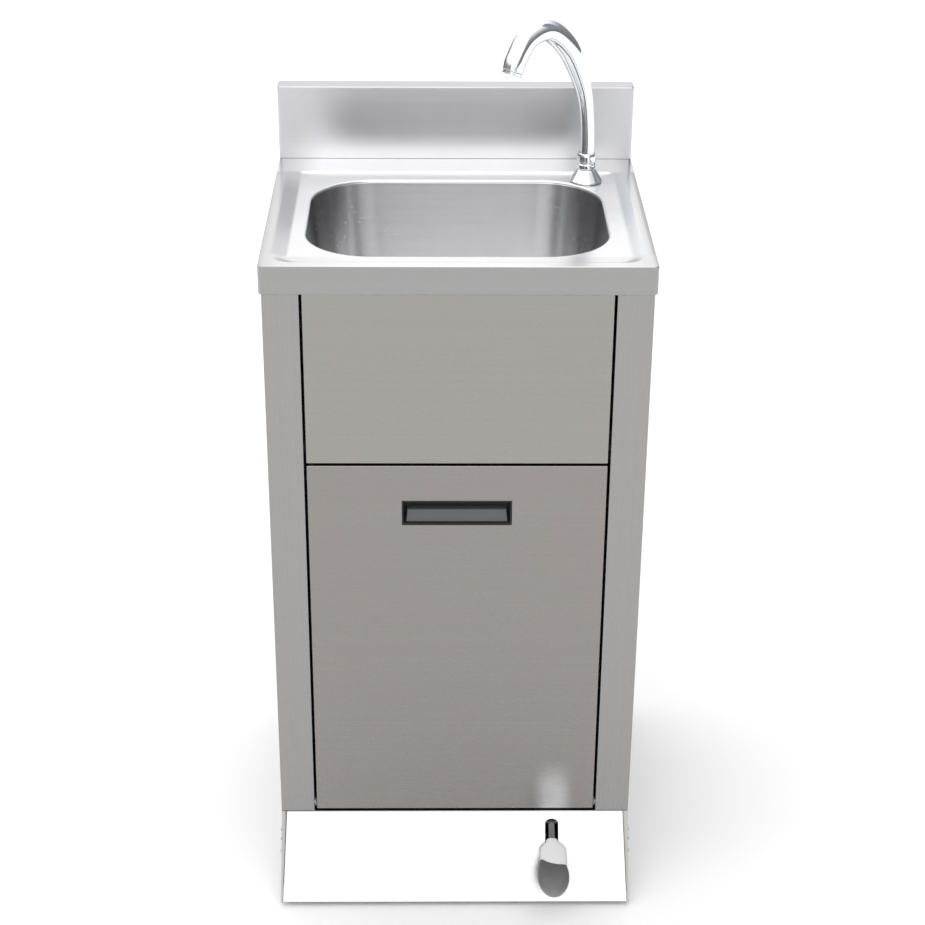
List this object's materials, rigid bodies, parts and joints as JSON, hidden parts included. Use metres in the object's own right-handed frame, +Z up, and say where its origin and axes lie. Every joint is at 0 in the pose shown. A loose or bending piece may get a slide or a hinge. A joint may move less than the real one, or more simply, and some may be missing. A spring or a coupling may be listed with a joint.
{
  "type": "portable handwash sink",
  "caption": "Freestanding stainless steel handwash sink on a slim cabinet with a raised back, swan-neck spout, sloped plinth with foot pedal, drop-down door and water containers inside.",
  "frame": {"origin": "on the floor, under the middle of the whole object's bounding box, pedal included", "axes": "+Z up; the front with the door and pedal faces -Y; +X is the user's right, the side of the tap and the pedal"},
  "size_m": [0.45, 0.4999, 1.0637],
  "materials": {
    "worktop_steel": "satin brushed stainless steel",
    "bowl_steel": "satin drawn stainless steel",
    "cabinet_steel": "fine brushed stainless steel sheet",
    "inner_steel": "mill finish stainless steel",
    "handle_cup_plastic": "matt moulded plastic",
    "dark_plastic": "matt moulded plastic",
    "grey_plastic": "matt moulded plastic",
    "chrome": "polished chrome",
    "pedal_metal": "satin chrome",
    "pedal_rubber": "matt moulded rubber",
    "black_rubber": "matt rubber",
    "natural_plastic": "translucent natural plastic",
    "blue_plastic": "moulded plastic",
    "hose_plastic": "milky flexible hose"
  },
  "bodies": {
    "cabinet": {"back_panel": "cabinet_steel", "base_pan": "inner_steel", "bowl": "bowl_steel", "catch_left": "dark_plastic", "catch_right": "dark_plastic", "drain_body": "chrome", "drain_gasket": "black_rubber", "drain_locknut": "grey_plastic", "drain_strainer": "chrome", "floor_pan": "inner_steel", "foot_front_left": "black_rubber", "foot_front_right": "black_rubber", "foot_rear_left": "black_rubber", "foot_rear_right": "black_rubber", "fresh_cap": "blue_plastic", "fresh_container": "natural_plastic", "fresh_grip": "natural_plastic", "front_apron": "cabinet_steel", "front_rail": "inner_steel", "hinge_pin_left": "chrome", "hinge_pin_right": "chrome", "pedal_bracket": "inner_steel", "pedal_pin": "chrome", "plinth_front": "cabinet_steel", "pump_barrel": "grey_plastic", "pump_gland": "dark_plastic", "pump_head": "dark_plastic", "pump_saddle": "inner_steel", "return_spring": "inner_steel", "side_panel_left": "cabinet_steel", "side_panel_right": "cabinet_steel", "suction_filter": "dark_plastic", "suction_hose": "hose_plastic", "supply_hose": "hose_plastic", "tap_base": "chrome", "tap_collar": "chrome", "tap_locknut": "chrome", "tap_shank": "chrome", "tap_washer": "black_rubber", "upstand": "worktop_steel", "waste_cap": "black_rubber", "waste_container": "grey_plastic", "waste_grip": "grey_plastic", "waste_hose": "grey_plastic", "worktop": "worktop_steel"},
    "door": {"door_skin": "cabinet_steel", "door_liner": "cabinet_steel", "handle_cup": "handle_cup_plastic", "hinge_bush_left": "grey_plastic", "hinge_bush_right": "grey_plastic"},
    "spout": {"spout_neck": "chrome", "aerator": "chrome"},
    "pedal": {"pedal_lever": "inner_steel", "lever_nose": "dark_plastic", "pedal_head": "pedal_metal", "pedal_pad": "pedal_rubber"},
    "pump_rod": {"piston_rod": "chrome", "piston": "black_rubber"}
  },
  "joints": [
    {"name": "door_tilt", "type": "hinge", "parent": "cabinet", "child": "door", "pos_m": [0, -0.141, 0.113], "axis": [1, 0, 0], "range_deg": [0, 90]},
    {"name": "spout_swivel", "type": "hinge", "parent": "cabinet", "child": "spout", "pos_m": [0.162, 0.151, 0.8645], "axis": [0, 0, 1], "continuous": true},
    {"name": "pedal_press", "type": "hinge", "parent": "cabinet", "child": "pedal", "pos_m": [0.124, -0.1433, 0.082], "axis": [1, 0, 0], "range_deg": [0, 9], "stiffness_Nm_per_rad": 8, "springref_deg": -6.88},
    {"name": "pump_stroke", "type": "slide", "parent": "cabinet", "child": "pump_rod", "axis": [0, 1, 0], "range_m": [0, 0.0066], "deforming": ["return_spring"]}
  ],
  "couplings": [
    {"joint": "pump_stroke", "follows": "pedal_press", "m_per_rad": 0.0412}
  ]
}
